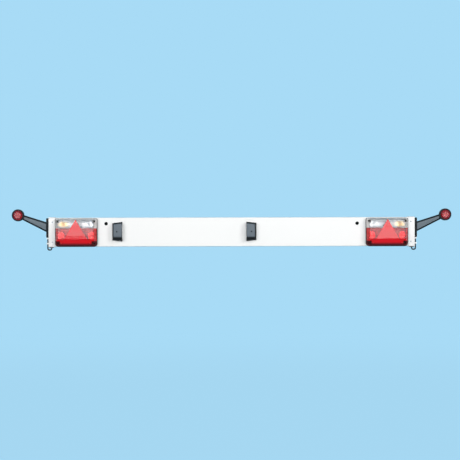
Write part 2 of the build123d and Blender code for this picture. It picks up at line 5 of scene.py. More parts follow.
import bmesh
import bpy
from mathutils import Matrix, Vector


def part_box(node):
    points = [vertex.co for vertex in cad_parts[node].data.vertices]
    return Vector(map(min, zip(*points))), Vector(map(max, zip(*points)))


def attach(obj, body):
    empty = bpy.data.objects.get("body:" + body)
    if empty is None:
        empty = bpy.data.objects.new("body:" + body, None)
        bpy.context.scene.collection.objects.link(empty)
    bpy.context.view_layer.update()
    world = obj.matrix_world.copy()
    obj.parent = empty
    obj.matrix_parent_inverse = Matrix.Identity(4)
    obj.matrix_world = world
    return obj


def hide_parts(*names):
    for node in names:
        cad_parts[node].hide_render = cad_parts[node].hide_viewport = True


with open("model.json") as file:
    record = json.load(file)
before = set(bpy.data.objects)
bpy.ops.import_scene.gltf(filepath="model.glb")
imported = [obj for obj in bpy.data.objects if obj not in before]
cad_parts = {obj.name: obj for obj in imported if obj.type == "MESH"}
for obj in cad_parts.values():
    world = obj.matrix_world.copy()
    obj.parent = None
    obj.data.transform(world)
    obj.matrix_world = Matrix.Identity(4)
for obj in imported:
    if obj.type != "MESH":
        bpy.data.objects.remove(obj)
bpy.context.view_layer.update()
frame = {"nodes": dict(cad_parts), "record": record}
parts = frame["nodes"]
lamp_low, lamp_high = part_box("right_lamp_housing")
lamp_centre = (lamp_low + lamp_high) / 2
crease_z = min(parts["right_triangle_reflector"].data.vertices, key=lambda point: point.co.y).co.z

# Sizes of what the CAD model leaves to the looks, in metres, and what its meshes are made with
mm = 0.001
turn_steps = 32
weld = 0.01 * mm
fine_weld = 0.001 * mm

# Screws and fixing bolts
recess_width = 1.2 * mm
recess_depth = 1.2 * mm
head_rim = 0.72
head_sides = 24
stud_radius = 4.0 * mm
thread_pitch = 1.25 * mm
thread_ridge = 0.35 * mm
thread_steps = 20
flange_radius = 8.6 * mm
flange_height = 1.6 * mm
flange_hole = 0.7

# Blades of the wiring sockets
blade_pitch = 8.0 * mm
blade_row_pitch = 9.0 * mm
blade_columns = 4
blade_length = 8.0 * mm
blade_width = 4.2 * mm
blade_thickness = 1.2 * mm
blade_skin = 0.2 * mm
socket_mouth_depth = 14.0 * mm

# Bulbs, as shares of their radius, and the dishes round their feet
bulb_glass_length = 24.0 * mm
bulb_stem = 0.25
bulb_shoulder = 0.8
bulb_curve = 0.3
dome_steps = 9
tray_floor = 2.0 * mm
dish_hole = 2.6 * mm
dish_depth = 0.8 * mm
dish_wall = 0.2 * mm
dish_lean = 0.07
upper_dish = (24.0 * mm, 12.4 * mm)
lower_dish = (16.0 * mm, 20.0 * mm)

# Where the rear lens is painted dark as shade, clear and folded
pocket_floor = 3.0 * mm
foot_dark = 22.0 * mm
lower_face = 11.0 * mm
fold_width = 15.0 * mm
fold_rise = 0.47
crease_offset = 1.0 * mm
pocket_fade = (1.5 * mm, 0.2 * mm)
split_fade = 2.0 * mm
flute_pitch = 4.0 * mm
flute_depth = 0.2 * mm
prism_width = 3.0 * mm
prism_depth = 0.1 * mm
wave_turn = 20.0  # radians that a wave texture of scale 1 runs through in a metre

# Covers, arms and marker lamps
# how far the painted shade reaches up a plate lamp cover's foot
cover_foot = 27.0 * mm
cover_foot_full = 0.7
arm_flange = 12.0 * mm
arm_flange_fade = 2.0 * mm
marker_head = 60.0 * mm
marker_head_fade = 4.0 * mm
unit_radius = 15.0 * mm
unit_edge = 1.0 * mm
unit_bowl = 2.5 * mm
unit_gap = 0.5 * mm
chip_radius = 4.0 * mm
arm_edge = 2.5 * mm
cover_edge = 1.5 * mm
cap_edge = 0.8 * mm
edge_steps = 3

# The photograph's frame: 2.3 m across at the board, looked at square from the front
view_width = 2.313
view_distance = 7.0
view_x = -0.008
view_z = -0.0327
view_roll = 0.13
sensor = 36.0
sky_blue = "#A8DBF6"
sky_light = 0.13
floor_size = 60.0
floor_z = -1.0


def linear(code):
    """An sRGB hex colour as the linear colour that a shader takes."""
    channels = [int(code[start:start + 2], 16) / 255 for start in (1, 3, 5)]
    return [c / 12.92 if c <= 0.04045 else ((c + 0.055) / 1.055) ** 2.4 for c in channels] + [1.0]


def add(tree, kind, inputs=None, **settings):
    """Adds a node with its settings. A socket given as an input is linked, and anything else is a value."""
    node = tree.nodes.new(kind)
    for name, value in settings.items():
        setattr(node, name, value)
    for name, value in (inputs or {}).items():
        if isinstance(value, bpy.types.NodeSocket):
            tree.links.new(value, node.inputs[name])
        else:
            node.inputs[name].default_value = value
    return node


def new_material(name, **constants):
    """A material with its shader's constants set, and the place on the piece for its patterns."""
    material = bpy.data.materials.new(name)
    material.use_nodes = True
    tree = material.node_tree
    shader = tree.nodes["Principled BSDF"]
    for socket, value in constants.items():
        shader.inputs[socket.replace("_", " ")].default_value = value
    return material, tree, shader, add(tree, "ShaderNodeTexCoord").outputs["Object"]


def two_tone(tree, shader, fac, first, second):
    """Colours a surface between two near shades by a pattern."""
    shades = {"Factor": fac, 6: linear(first), 7: linear(second)}
    mix = add(tree, "ShaderNodeMix", shades, data_type="RGBA")
    tree.links.new(mix.outputs[2], shader.inputs["Base Color"])


def overlaid(tree, shader, fac, colour):
    """Lays a second colour over the one that a surface has."""
    under = shader.inputs["Base Color"].links[0].from_socket
    mix = add(tree, "ShaderNodeMix", {"Factor": fac, 6: under, 7: linear(colour)}, data_type="RGBA")
    tree.links.new(mix.outputs[2], shader.inputs["Base Color"])


def ranged(tree, shader, socket, fac, first, second):
    """Runs a number of the shader between two values by a pattern."""
    share = add(tree, "ShaderNodeMapRange", {"Value": fac, "To Min": first, "To Max": second})
    tree.links.new(share.outputs[0], shader.inputs[socket])


def shaded_and_dulled(tree, shader, fac, colour, shine, dullness):
    """Paints shade on a part of a moulding, such as its drafted side walls, and leaves it darker and duller
    than the rest.
    """
    overlaid(tree, shader, fac, colour)
    ranged(tree, shader, "Roughness", fac, shine, dullness)


def relief(tree, shader, height, depth):
    """Raises a pattern out of a surface by a real depth."""
    bump = add(tree, "ShaderNodeBump", {"Height": height, "Distance": depth})
    tree.links.new(bump.outputs["Normal"], shader.inputs["Normal"])


def fronts(tree, start=0.55, end=0.9):
    """1 where a surface looks out of the board's front or back, and 0 on a side wall."""
    normal = add(tree, "ShaderNodeTexCoord").outputs["Normal"]
    outwards = add(tree, "ShaderNodeSeparateXYZ", {0: normal}).outputs["Y"]
    outwards = add(tree, "ShaderNodeMath", {0: outwards}, operation="ABSOLUTE").outputs[0]
    return add(tree, "ShaderNodeMapRange", {"Value": outwards, "From Min": start, "From Max": end}).outputs[0]


def sides(tree, start=0.55, end=0.9):
    """1 on a side wall, and 0 where a surface looks out of the board's front or back."""
    front = fronts(tree, start, end)
    return add(tree, "ShaderNodeMath", {0: 1.0, 1: front}, operation="SUBTRACT").outputs[0]


def faded(tree, place, axis, start, end):
    """0 before a place along an axis of the object, or out from its middle along X, and 1 after it."""
    along = add(tree, "ShaderNodeSeparateXYZ", {0: place}).outputs[axis]
    if axis == "X":
        along = add(tree, "ShaderNodeMath", {0: along}, operation="ABSOLUTE").outputs[0]
    return add(tree, "ShaderNodeMapRange", {"Value": along, "From Min": start, "From Max": end}).outputs[0]


def lens_foot(tree, place):
    """1 along the foot of a rear lamp's front, where painted shade goes, and 0 above it."""
    return faded(tree, place, "Z", lamp_low.z + foot_dark, lamp_low.z + foot_dark / 2)


def powder_coat():
    """White powder coat on aluminium: satin, with a faint orange peel of about 2 mm and wide clouds."""
    material, tree, shader, place = new_material("white powder coat", Roughness=0.32, IOR=1.5)
    peel = add(tree, "ShaderNodeTexNoise", {"Vector": place, "Scale": 1 / (2 * mm), "Detail": 1.0})
    cloud = add(tree, "ShaderNodeTexNoise", {"Vector": place, "Scale": 6.0, "Detail": 2.0})
    two_tone(tree, shader, cloud.outputs[0], "#F5F5F3", "#F3F3F2")
    relief(tree, shader, peel.outputs[0], 0.02 * mm)
    return material


def white_abs():
    """Moulded white ABS: a little glossier than the board, with a fine grain of about 1 mm."""
    material, tree, shader, place = new_material("moulded white ABS", Roughness=0.28, IOR=1.53)
    grain = add(tree, "ShaderNodeTexNoise", {"Vector": place, "Scale": 1 / (1 * mm), "Detail": 2.0})
    two_tone(tree, shader, grain.outputs[0], "#F5F5F3", "#F2F2F2")
    relief(tree, shader, grain.outputs[0], 0.02 * mm)
    return material


def zinc_plate():
    """Zinc-plated steel: bright grey with dull cloudy spots of a few millimetres."""
    material, tree, shader, place = new_material("zinc-plated steel", Metallic=1.0)
    cloud = add(tree, "ShaderNodeTexNoise", {"Vector": place, "Scale": 1 / (3 * mm), "Detail": 3.0})
    two_tone(tree, shader, cloud.outputs[0], "#A9ACAF", "#8F9397")
    ranged(tree, shader, "Roughness", cloud.outputs[0], 0.28, 0.45)
    return material


def black_steel():
    """Black-coated bolt steel: a dull phosphate skin, nearly black, with fine grit."""
    material, tree, shader, place = new_material("black-coated steel", Roughness=0.6, Specular_IOR_Level=0.06)
    grit = add(tree, "ShaderNodeTexNoise", {"Vector": place, "Scale": 1 / (0.8 * mm), "Detail": 2.0})
    two_tone(tree, shader, grit.outputs[0], "#050505", "#0B0B0C")
    relief(tree, shader, grit.outputs[0], 0.03 * mm)
    return material


def black_abs(name, first, second, dullness, side_dullness, foot_z=None):
    """Moulded black ABS: eroded grain of about 0.8 mm, fronts in two given shades, a painted grey sheen on
    the plate lamp covers, and painted shade, near black, on the sides and on a cover's foot.
    """
    material, tree, shader, place = new_material(name, IOR=1.53, Specular_IOR_Level=0.25)
    grain = add(tree, "ShaderNodeTexNoise", {"Vector": place, "Scale": 1 / (0.8 * mm), "Detail": 3.0})
    two_tone(tree, shader, grain.outputs[0], first, second)
    # painted shade on the drafted side walls
    dull = sides(tree)
    # painted shade along the foot of a plate lamp cover
    if foot_z is not None:
        foot = faded(tree, place, "Z", foot_z + cover_foot, foot_z + cover_foot_full * cover_foot)
        dull = add(tree, "ShaderNodeMath", {0: dull, 1: foot}, operation="MAXIMUM").outputs[0]
    shaded_and_dulled(tree, shader, dull, "#050506", dullness, side_dullness)
    relief(tree, shader, grain.outputs[0], 0.04 * mm)
    return material


def black_rubber():
    """Moulded black rubber: the arm's flats are painted grey as a sheen, in patches of about 15 mm, with
    painted shade on its side walls.
    """
    material, tree, shader, place = new_material("moulded black rubber", IOR=1.52, Specular_IOR_Level=0.3)
    bloom = add(tree, "ShaderNodeTexNoise", {"Vector": place, "Scale": 1 / (15 * mm), "Detail": 4.0})
    # painted sheen: the flats' grey stands in for a reflection on black rubber
    two_tone(tree, shader, bloom.outputs[0], "#606B73", "#6D7880")
    root_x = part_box("right_end_cap")[1].x + arm_flange
    head_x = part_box("right_marker_arm")[1].x - marker_head
    # painted shade on the rounded side walls; the flange and head ends stay near black, without the painted
    # sheen
    dark = sides(tree, start=0.72, end=0.97)
    for start, end in ((root_x + arm_flange_fade, root_x), (head_x - marker_head_fade, head_x)):
        ends = faded(tree, place, "X", start, end)
        dark = add(tree, "ShaderNodeMath", {0: dark, 1: ends}, operation="MAXIMUM").outputs[0]
    shaded_and_dulled(tree, shader, dark, "#0D0D0E", 0.45, 0.7)
    skin = add(tree, "ShaderNodeTexNoise", {"Vector": place, "Scale": 1 / (1 * mm), "Detail": 2.0})
    relief(tree, shader, skin.outputs[0], 0.04 * mm)
    return material


def cable_pvc():
    """Extruded PVC cable jacket: black with a soft sheen and faint draw marks."""
    material, tree, shader, place = new_material("extruded PVC jacket", Roughness=0.38, IOR=1.53)
    marks = add(tree, "ShaderNodeTexNoise", {"Vector": place, "Scale": 1 / (2 * mm), "Detail": 2.0})
    two_tone(tree, shader, marks.outputs[0], "#101011", "#1A1A1B")
    relief(tree, shader, marks.outputs[0], 0.03 * mm)
    return material


def flutes_of(tree, place, direction="X"):
    """Moulded flutes, 4 mm apart along a direction."""
    return add(tree, "ShaderNodeTexWave", {"Vector": place, "Scale": math.tau / (wave_turn * flute_pitch)},
               bands_direction=direction, wave_profile="SIN").outputs[1]


def fluted_acrylic(name, first, second, haze, see_through, side_see_through, direction="X",
                   painted_side_shade=None, shine=0.5):
    """Moulded acrylic lens: flutes inside blur what lies behind; the sides may be frosted, and may get
    painted shade in a darker colour.
    """
    material, tree, shader, place = new_material(name, Roughness=haze, IOR=1.49, Specular_IOR_Level=shine)
    flutes = flutes_of(tree, place, direction)
    two_tone(tree, shader, flutes, first, second)
    # painted shade on the sloped sides
    if painted_side_shade:
        overlaid(tree, shader, sides(tree, start=0.8, end=0.97), painted_side_shade)
    ranged(tree, shader, "Transmission Weight", fronts(tree), side_see_through, see_through)
    relief(tree, shader, flutes, flute_depth)
    return material


def folded(tree, place, pattern, depth, start_z):
    """The height of a pattern on the lamp's front, where the fold below the crease is rounded off."""
    fold = faded(tree, place, "Z", start_z, start_z - fold_width)
    swell = add(tree, "ShaderNodeMath", {0: fold, 1: fold_width * fold_rise}, operation="MULTIPLY")
    height = {0: pattern, 1: depth, 2: swell.outputs[0]}
    return add(tree, "ShaderNodeMath", height, operation="MULTIPLY_ADD").outputs[0]


def pocketed_acrylic():
    """The red rear lens: fluted, deep red below the fold, with painted shade along its foot and in its
    screws' pockets.
    """
    material, tree, shader, place = new_material("pocketed red acrylic", IOR=1.49, Specular_IOR_Level=0.25)
    flutes = flutes_of(tree, place)
    two_tone(tree, shader, flutes, "#FF1A20", "#F80E18")
    above = faded(tree, place, "Z", crease_z - 2 * lower_face, crease_z - lower_face)
    clear = add(tree, "ShaderNodeMath", {0: fronts(tree), 1: above}, operation="MULTIPLY").outputs[0]
    ranged(tree, shader, "Transmission Weight", clear, 0.3, 0.94)
    relief(tree, shader, folded(tree, place, flutes, flute_depth, crease_z + crease_offset), 1.0)
    # painted shade in the screws' pockets and along the foot
    floor_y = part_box("right_red_lens")[1].y - pocket_floor
    deep = faded(tree, place, "Y", floor_y - pocket_fade[0], floor_y - pocket_fade[1])
    dark = {0: lens_foot(tree, place), 1: deep}
    painted_shade = add(tree, "ShaderNodeMath", dark, operation="MAXIMUM").outputs[0]
    shaded_and_dulled(tree, shader, painted_shade, "#560C12", 0.25, 0.8)
    return material


def reflex_prisms():
    """Moulded red reflex reflector: a glossy face over cube corners, drawn 3 mm wide so that they show, with
    painted shade along its foot.
    """
    material, tree, shader, place = new_material("red reflex prisms", Roughness=0.12, IOR=1.49,
                                                 Specular_IOR_Level=0.25)
    cells = add(tree, "ShaderNodeTexVoronoi", {"Vector": place, "Scale": 1 / prism_width, "Randomness": 0.15})
    two_tone(tree, shader, cells.outputs["Distance"], "#F00A1C", "#CE0213")
    # painted shade along the foot of the lamp's front
    overlaid(tree, shader, lens_foot(tree, place), "#5A0810")
    relief(tree, shader, folded(tree, place, cells.outputs["Distance"], prism_depth, crease_z), 1.0)
    return material


def silvered_plastic(name, first, second, dullness, lower=None):
    """Vacuum-silvered plastic: dull on the tray, painted darker in its lower cells as shade, and polished in
    the dishes.
    """
    material, tree, shader, place = new_material(name, Metallic=1.0, Roughness=dullness)
    ripple = add(tree, "ShaderNodeTexNoise", {"Vector": place, "Scale": 1 / (12 * mm), "Detail": 1.0})
    two_tone(tree, shader, ripple.outputs[0], first, second)
    # painted shade: the tray's lower cells drawn darker than the same silver above
    if lower:
        split_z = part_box("right_clear_lens")[0].z
        overlaid(tree, shader, faded(tree, place, "Z", split_z + split_fade, split_z), lower)
    relief(tree, shader, ripple.outputs[0], 0.3 * mm)
    return material


def bulb_glass(name, first, second, see_through):
    """Blown bulb glass, clear or lacquered, with slow waves. A thin wall bends light little: a low IOR."""
    material, tree, shader, place = new_material(name, Roughness=0.04, IOR=1.12,
                                                 Transmission_Weight=see_through)
    waves = add(tree, "ShaderNodeTexNoise", {"Vector": place, "Scale": 1 / (8 * mm), "Detail": 1.0})
    two_tone(tree, shader, waves.outputs[0], first, second)
    relief(tree, shader, waves.outputs[0], 0.1 * mm)
    return material


def brass():
    """Rolled brass strip: warm metal with fine rolling lines."""
    material, tree, shader, place = new_material("rolled brass", Metallic=1.0, Roughness=0.3)
    lines = add(tree, "ShaderNodeTexNoise", {"Vector": place, "Scale": 1 / (1.5 * mm), "Detail": 2.0})
    two_tone(tree, shader, lines.outputs[0], "#C9A24E", "#B28A3C")
    return material


finishes = {
    "white_board": powder_coat(),
    "white_plastic": white_abs(),
    "zinc_steel": zinc_plate(),
    "black_steel": black_steel(),
    "black_plastic": black_abs("moulded black ABS", "#141415", "#1E1E1F", dullness=0.4, side_dullness=0.5),
    # The covers' grey-blue fronts are a painted sheen on black ABS.
    "cover_plastic": black_abs("grained black ABS", "#57616A", "#626C75", dullness=0.35, side_dullness=0.8,
                               foot_z=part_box("right_plate_lamp_cover")[0].z),
    "black_rubber": black_rubber(),
    "cable_jacket": cable_pvc(),
    "clear_lens": fluted_acrylic("clear acrylic", "#F8F5F3", "#F2ECEA", haze=0.36,
                                 see_through=0.95, side_see_through=0.05),
    "plate_lens": fluted_acrylic("cross-fluted acrylic", "#F8F5F3", "#F2ECEA", haze=0.15,
                                 see_through=0.95, side_see_through=0.95, direction="Z"),
    # The red lens's pale pink is partly a painted reflection, and its sides get a painted shade in darker
    # red.
    "red_lens": fluted_acrylic("red acrylic", "#E8565C", "#E04A50", haze=0.26, see_through=0.78,
                               side_see_through=0.2, painted_side_shade="#A80212", shine=0.25),
    "pocketed_red_lens": pocketed_acrylic(),
    "red_reflector": reflex_prisms(),
    # The tray's lower cells get a painted shade.
    "silvered_plastic": silvered_plastic("silvered plastic", "#D4D4D4", "#C8C8C9", dullness=0.42,
                                         lower="#7C7E80"),
    "polished_dish": silvered_plastic("polished silvered plastic", "#ECEDEE", "#E2E4E5", dullness=0.24),
    # painted amber light from the indicator bulb on its dishes
    "amber_lit_dish": silvered_plastic("warm silvered plastic", "#FFDCA4", "#FBD498", dullness=0.24),
    "clear_glass": bulb_glass("clear bulb glass", "#FDFDFC", "#F8FAFA", see_through=0.98),
    "amber_glass": bulb_glass("amber lacquered glass", "#FFEEC0", "#FFE8B2", see_through=0.95),
    "brass_spring": brass(),
}
finishes["foam_rubber"] = finishes["black_rubber"]
finishes["light_unit"] = finishes["white_plastic"]

slots = {entry["node"]: entry["material_slot"] for entry in frame["record"]["subparts"]}
looks = slots.copy()
for side in ("left", "right"):
    looks[side + "_red_lens"] = "pocketed_red_lens"
    looks[side + "_plate_lamp_lens"] = "plate_lens"
for node, part in parts.items():
    part.data.materials.clear()
    part.data.materials.append(finishes[looks[node]])


# Pieces that the CAD model draws plainly
def solids(node):
    """The boxes of a CAD node's separate solids, each as its lowest and highest corner."""
    form = bmesh.new()
    form.from_mesh(parts[node].data)
    bmesh.ops.remove_doubles(form, verts=form.verts, dist=weld)
    boxes = []
    unseen = set(form.verts)
    while unseen:
        reached = [unseen.pop()]
        for vertex in reached:
            for edge in vertex.link_edges:
                other = edge.other_vert(vertex)
                if other in unseen:
                    unseen.remove(other)
                    reached.append(other)
        points = [vertex.co for vertex in reached]
        boxes.append((Vector(map(min, *points)), Vector(map(max, *points))))
    form.free()
    return sorted(boxes, key=lambda box: tuple(box[0]))


def middle(box):
    """The centre of a box."""
    return (box[0] + box[1]) / 2


def placed(name, mesh, finish):
    """A finished piece that rides on the board. A mesh without a material gets its finish here."""
    piece = bpy.data.objects.new(name, mesh)
    bpy.context.scene.collection.objects.link(piece)
    if not mesh.materials:
        mesh.materials.append(finishes[finish])
    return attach(piece, "root")


def new_tree(name, inputs):
    """An empty Geometry Nodes tree with named inputs, and the sockets that give them."""
    tree = bpy.data.node_groups.new(name, "GeometryNodeTree")
    tree.interface.new_socket("Geometry", in_out="OUTPUT", socket_type="NodeSocketGeometry")
    tree.interface.new_socket("Geometry", in_out="INPUT", socket_type="NodeSocketGeometry")
    for label, kind in inputs.items():
        tree.interface.new_socket(label, in_out="INPUT", socket_type=kind)
    return tree, add(tree, "NodeGroupInput").outputs


def close_tree(tree, geometry, material):
    """Ends a tree in plain geometry with its material."""
    real = add(tree, "GeometryNodeRealizeInstances", {"Geometry": geometry})
    dressed = add(tree, "GeometryNodeSetMaterial", {"Geometry": real.outputs[0], "Material": material})
    add(tree, "NodeGroupOutput", {"Geometry": dressed.outputs[0]})


def plain_mesh(holder):
    """The plain mesh of an object that is only there to make it."""
    graph = bpy.context.evaluated_depsgraph_get()
    mesh = bpy.data.meshes.new_from_object(holder.evaluated_get(graph))
    bpy.data.objects.remove(holder)
    return mesh


def grown(name, tree, points, finish, **values):
    """The plain mesh that a tree grows from points, as a finished piece."""
    seeds = bpy.data.meshes.new(name)
    seeds.from_pydata([tuple(point) for point in points], [], [])
    holder = bpy.data.objects.new(name + " places", seeds)
    bpy.context.scene.collection.objects.link(holder)
    modifier = holder.modifiers.new(name, "NODES")
    modifier.node_group = tree
    values["Material"] = finishes[finish]
    for socket in tree.interface.items_tree:
        label = socket.name.replace(" ", "_")
        if socket.in_out == "INPUT" and label in values:
            modifier[socket.identifier] = values[label]
    return placed(name, plain_mesh(holder), finish)


def cross_screws():
    """A tree that sets a pan-head screw with a cross recess on each point, facing the viewer, at any turn."""
    tree, given = new_tree("cross-recess screws", {
        "Head Radius": "NodeSocketFloat",
        "Head Height": "NodeSocketFloat",
        "Recess Width": "NodeSocketFloat",
        "Recess Depth": "NodeSocketFloat",
        "Material": "NodeSocketMaterial",
    })
    rim = add(tree, "ShaderNodeMath", {0: given["Head Radius"], 1: head_rim}, operation="MULTIPLY").outputs[0]
    head = add(tree, "GeometryNodeMeshCone", {
        "Vertices": head_sides,
        "Radius Top": rim,
        "Radius Bottom": given["Head Radius"],
        "Depth": given["Head Height"],
    }).outputs[0]
    deep = add(tree, "ShaderNodeMath", {0: given["Recess Depth"], 1: 2.0}, operation="MULTIPLY").outputs[0]
    along = add(tree, "ShaderNodeCombineXYZ", {"X": rim, "Y": given["Recess Width"], "Z": deep}).outputs[0]
    across = add(tree, "ShaderNodeCombineXYZ", {"X": given["Recess Width"], "Y": rim, "Z": deep}).outputs[0]
    top = add(tree, "ShaderNodeCombineXYZ", {"Z": given["Head Height"]}).outputs[0]
    bars = [add(tree, "GeometryNodeMeshCube", {"Size": size}).outputs[0] for size in (along, across)]
    cross = add(tree, "GeometryNodeMeshBoolean", {"Mesh 2": bars[0]}, operation="UNION")
    tree.links.new(bars[1], cross.inputs["Mesh 2"])
    raised = add(tree, "GeometryNodeTransform", {"Geometry": cross.outputs[0], "Translation": top}).outputs[0]
    cut = add(tree, "GeometryNodeMeshBoolean", {"Mesh 1": head, "Mesh 2": raised}, operation="DIFFERENCE")
    facing = add(tree, "FunctionNodeRotateEuler", {"Rotation": (math.radians(90), 0, 0)}, space="LOCAL")
    any_turn = {"Max": (0, 0, math.tau), "Seed": 4}
    angle = add(tree, "FunctionNodeRandomValue", any_turn, data_type="FLOAT_VECTOR")
    tree.links.new(angle.outputs[0], facing.inputs["Rotate By"])
    heads = add(tree, "GeometryNodeInstanceOnPoints", {
        "Points": given["Geometry"],
        "Instance": cut.outputs[0],
        "Rotation": facing.outputs[0],
    })
    close_tree(tree, heads.outputs[0], given["Material"])
    return tree


def screw_heads(node, tree):
    """Cross-recess heads in place of the plain ones of a CAD node."""
    boxes = solids(node)
    low, high = boxes[0]
    places = [Vector((middle(box).x, box[1].y, middle(box).z)) for box in boxes]
    heads = grown("cross-" + node.replace("_", "-"), tree, places, slots[node],
                  Head_Radius=(high.z - low.z) / 2, Head_Height=high.y - low.y,
                  Recess_Width=recess_width, Recess_Depth=recess_depth)
    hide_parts(node)


def stud_threads():
    """A fine helical ridge on the free end of each fixing bolt."""
    tree, given = new_tree("stud thread", {
        "Radius": "NodeSocketFloat",
        "Length": "NodeSocketFloat",
        "Pitch": "NodeSocketFloat",
        "Ridge": "NodeSocketFloat",
        "Material": "NodeSocketMaterial",
    })
    turns = add(tree, "ShaderNodeMath", {0: given["Length"], 1: given["Pitch"]}, operation="DIVIDE")
    helix = add(tree, "GeometryNodeCurveSpiral", {
        "Resolution": thread_steps,
        "Rotations": turns.outputs[0],
        "Start Radius": given["Radius"],
        "End Radius": given["Radius"],
        "Height": given["Length"],
    }).outputs[0]
    ridge = add(tree, "GeometryNodeCurvePrimitiveCircle", {"Resolution": 4, "Radius": given["Ridge"]})
    wound = add(tree, "GeometryNodeCurveToMesh", {
        "Curve": helix,
        "Profile Curve": ridge.outputs[0],
        "Fill Caps": True,
    })
    studs = add(tree, "GeometryNodeInstanceOnPoints", {
        "Points": given["Geometry"],
        "Instance": wound.outputs[0],
        "Rotation": (math.radians(-90), 0, 0),
    })
    close_tree(tree, studs.outputs[0], given["Material"])
    boxes = solids("fixing_bolts")
    places = [Vector((middle(box).x, 2 * thread_ridge, middle(box).z)) for box in boxes]
    threads = grown("stud-threads", tree, places, "black_steel", Radius=stud_radius - thread_ridge / 2,
                    Length=boxes[0][1].y - 4 * thread_ridge, Pitch=thread_pitch, Ridge=thread_ridge)


def socket_blades():
    """Brass blades over the plain ones in the mouth of each wiring socket."""
    tree, given = new_tree("brass blades", {"Size": "NodeSocketVector", "Material": "NodeSocketMaterial"})
    blade = add(tree, "GeometryNodeMeshCube", {"Size": given["Size"]}).outputs[0]
    row = add(tree, "GeometryNodeInstanceOnPoints", {"Points": given["Geometry"], "Instance": blade})
    close_tree(tree, row.outputs[0], given["Material"])
    places = []
    for low, high in solids("lamp_sockets"):
        centre_x = math.copysign(lamp_centre.x, low.x)
        tip = high.y - socket_mouth_depth + blade_length / 2
        for column in range(blade_columns):
            across = (column - (blade_columns - 1) / 2) * blade_pitch
            for rise in (-blade_row_pitch / 2, blade_row_pitch / 2):
                places.append((centre_x + across, tip, lamp_centre.z + rise))
    blades = grown("socket-blades", tree, places, "brass_spring",
                   Size=(blade_width, blade_length + blade_skin, blade_thickness))


def turned(form, profile, place, stretch=1.0, lean=0.0):
    """Turns a profile of radius and rise about an axis out of the board, stretched sideways or leant."""
    rings = []
    for radius, rise in profile:
        ring = []
        for step in range(turn_steps):
            angle = math.tau * step / turn_steps
            across = stretch * radius * math.cos(angle)
            up = radius * math.sin(angle)
            ring.append(form.verts.new(place + Vector((across, lean * up - rise, up))))
        rings.append(ring)
    for lower, upper in zip(rings, rings[1:]):
        for step in range(turn_steps):
            following = (step + 1) % turn_steps
            form.faces.new((lower[step], lower[following], upper[following], upper[step]))


def closed_mesh(form, name):
    """A smooth plain mesh from a form, with its faces turned outwards."""
    bmesh.ops.remove_doubles(form, verts=form.verts, dist=fine_weld)
    bmesh.ops.recalc_face_normals(form, faces=form.faces)
    mesh = bpy.data.meshes.new(name)
    form.to_mesh(mesh)
    form.free()
    mesh.shade_smooth()
    mesh.set_sharp_from_angle(angle=math.radians(40))
    return mesh


def bolt_flanges():
    """The thin round flange under the head of each fixing bolt."""
    form = bmesh.new()
    front_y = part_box("board_channel")[0].y
    hole = flange_hole * flange_radius
    ring = [(hole, 0), (flange_radius, 0), (flange_radius, flange_height / 2),
            (hole, flange_height), (hole, 0)]
    for box in solids("fixing_bolts"):
        turned(form, ring, Vector((middle(box).x, front_y, middle(box).z)))
    flanges = placed("bolt-flanges", closed_mesh(form, "bolt flanges"), "black_steel")


def dome(radius):
    """The profile of a bulb's round end, at the length of its glass."""
    angles = [math.radians(90 * step / dome_steps) for step in range(dome_steps + 1)]
    start = bulb_glass_length - radius
    return [(radius * math.cos(angle), start + radius * math.sin(angle)) for angle in angles]


def bulbs(node):
    """Round bulbs with a domed end and a wedge foot in place of the eight-sided ones of a CAD node."""
    form = bmesh.new()
    for low, high in solids(node):
        radius = (high.z - low.z) / 2
        centre = middle((low, high))
        neck_y = low.y + bulb_glass_length
        foot = high.y - neck_y
        stem = bulb_stem * radius
        outside = [(0, -foot), (stem, -foot), (stem, 0),
                   (bulb_shoulder * radius, 0), (radius, bulb_curve * radius)]
        turned(form, outside + dome(radius), Vector((centre.x, neck_y, centre.z)))
    piece = placed("round-" + node.replace("_", "-"), closed_mesh(form, node), slots[node])
    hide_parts(node)


def bulb_dishes():
    """A shallow oval polished dish round the foot of each bulb, with painted amber light on the indicator's.
    """
    floor_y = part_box("right_lamp_reflector")[1].y - tray_floor
    for node, (half_width, half_height), finish in (("indicator_bulbs", upper_dish, "amber_lit_dish"),
                                                    ("reversing_bulbs", upper_dish, "polished_dish"),
                                                    ("tail_bulbs", lower_dish, "polished_dish"),
                                                    ("fog_bulbs", lower_dish, "polished_dish")):
        form = bmesh.new()
        lift = dish_lean * half_height + dish_wall
        shares = (dish_hole / half_height, 0.55, 0.7, 0.85, 1)
        bowl = [(half_height * share, lift + dish_depth * share ** 2) for share in shares]
        under = [(half_height, lift), (dish_hole, lift - dish_wall)]
        for box in solids(node):
            place = Vector((middle(box).x, floor_y, middle(box).z))
            turned(form, bowl + under + bowl[:1], place, half_width / half_height, dish_lean)
        dishes = placed("dishes-of-" + node.replace("_", "-"), closed_mesh(form, node + " dishes"), finish)


def marker_units():
    """A white bowl with a domed chip towards each lens, in place of the plain block of a marker lamp."""
    form = bmesh.new()
    for low, high in solids("marker_light_units"):
        half = (high.y - low.y) / 2 - unit_gap
        rim = [(unit_radius - unit_edge, half), (unit_radius, half - unit_edge)]
        bowl = [(unit_radius * share, half - unit_bowl * (1 - share ** 2)) for share in (0.4, 0.6, 0.8)]
        chip = [(chip_radius * math.cos(angle), half - unit_bowl + chip_radius * math.sin(angle) / 2)
                for angle in (math.radians(step) for step in (90, 60, 30, 0))]
        side = chip + bowl + rim
        turned(form, side + [(radius, -rise) for radius, rise in reversed(side)], middle((low, high)))
    units = placed("round-marker-units", closed_mesh(form, "marker units"), "light_unit")
    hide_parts("marker_light_units")


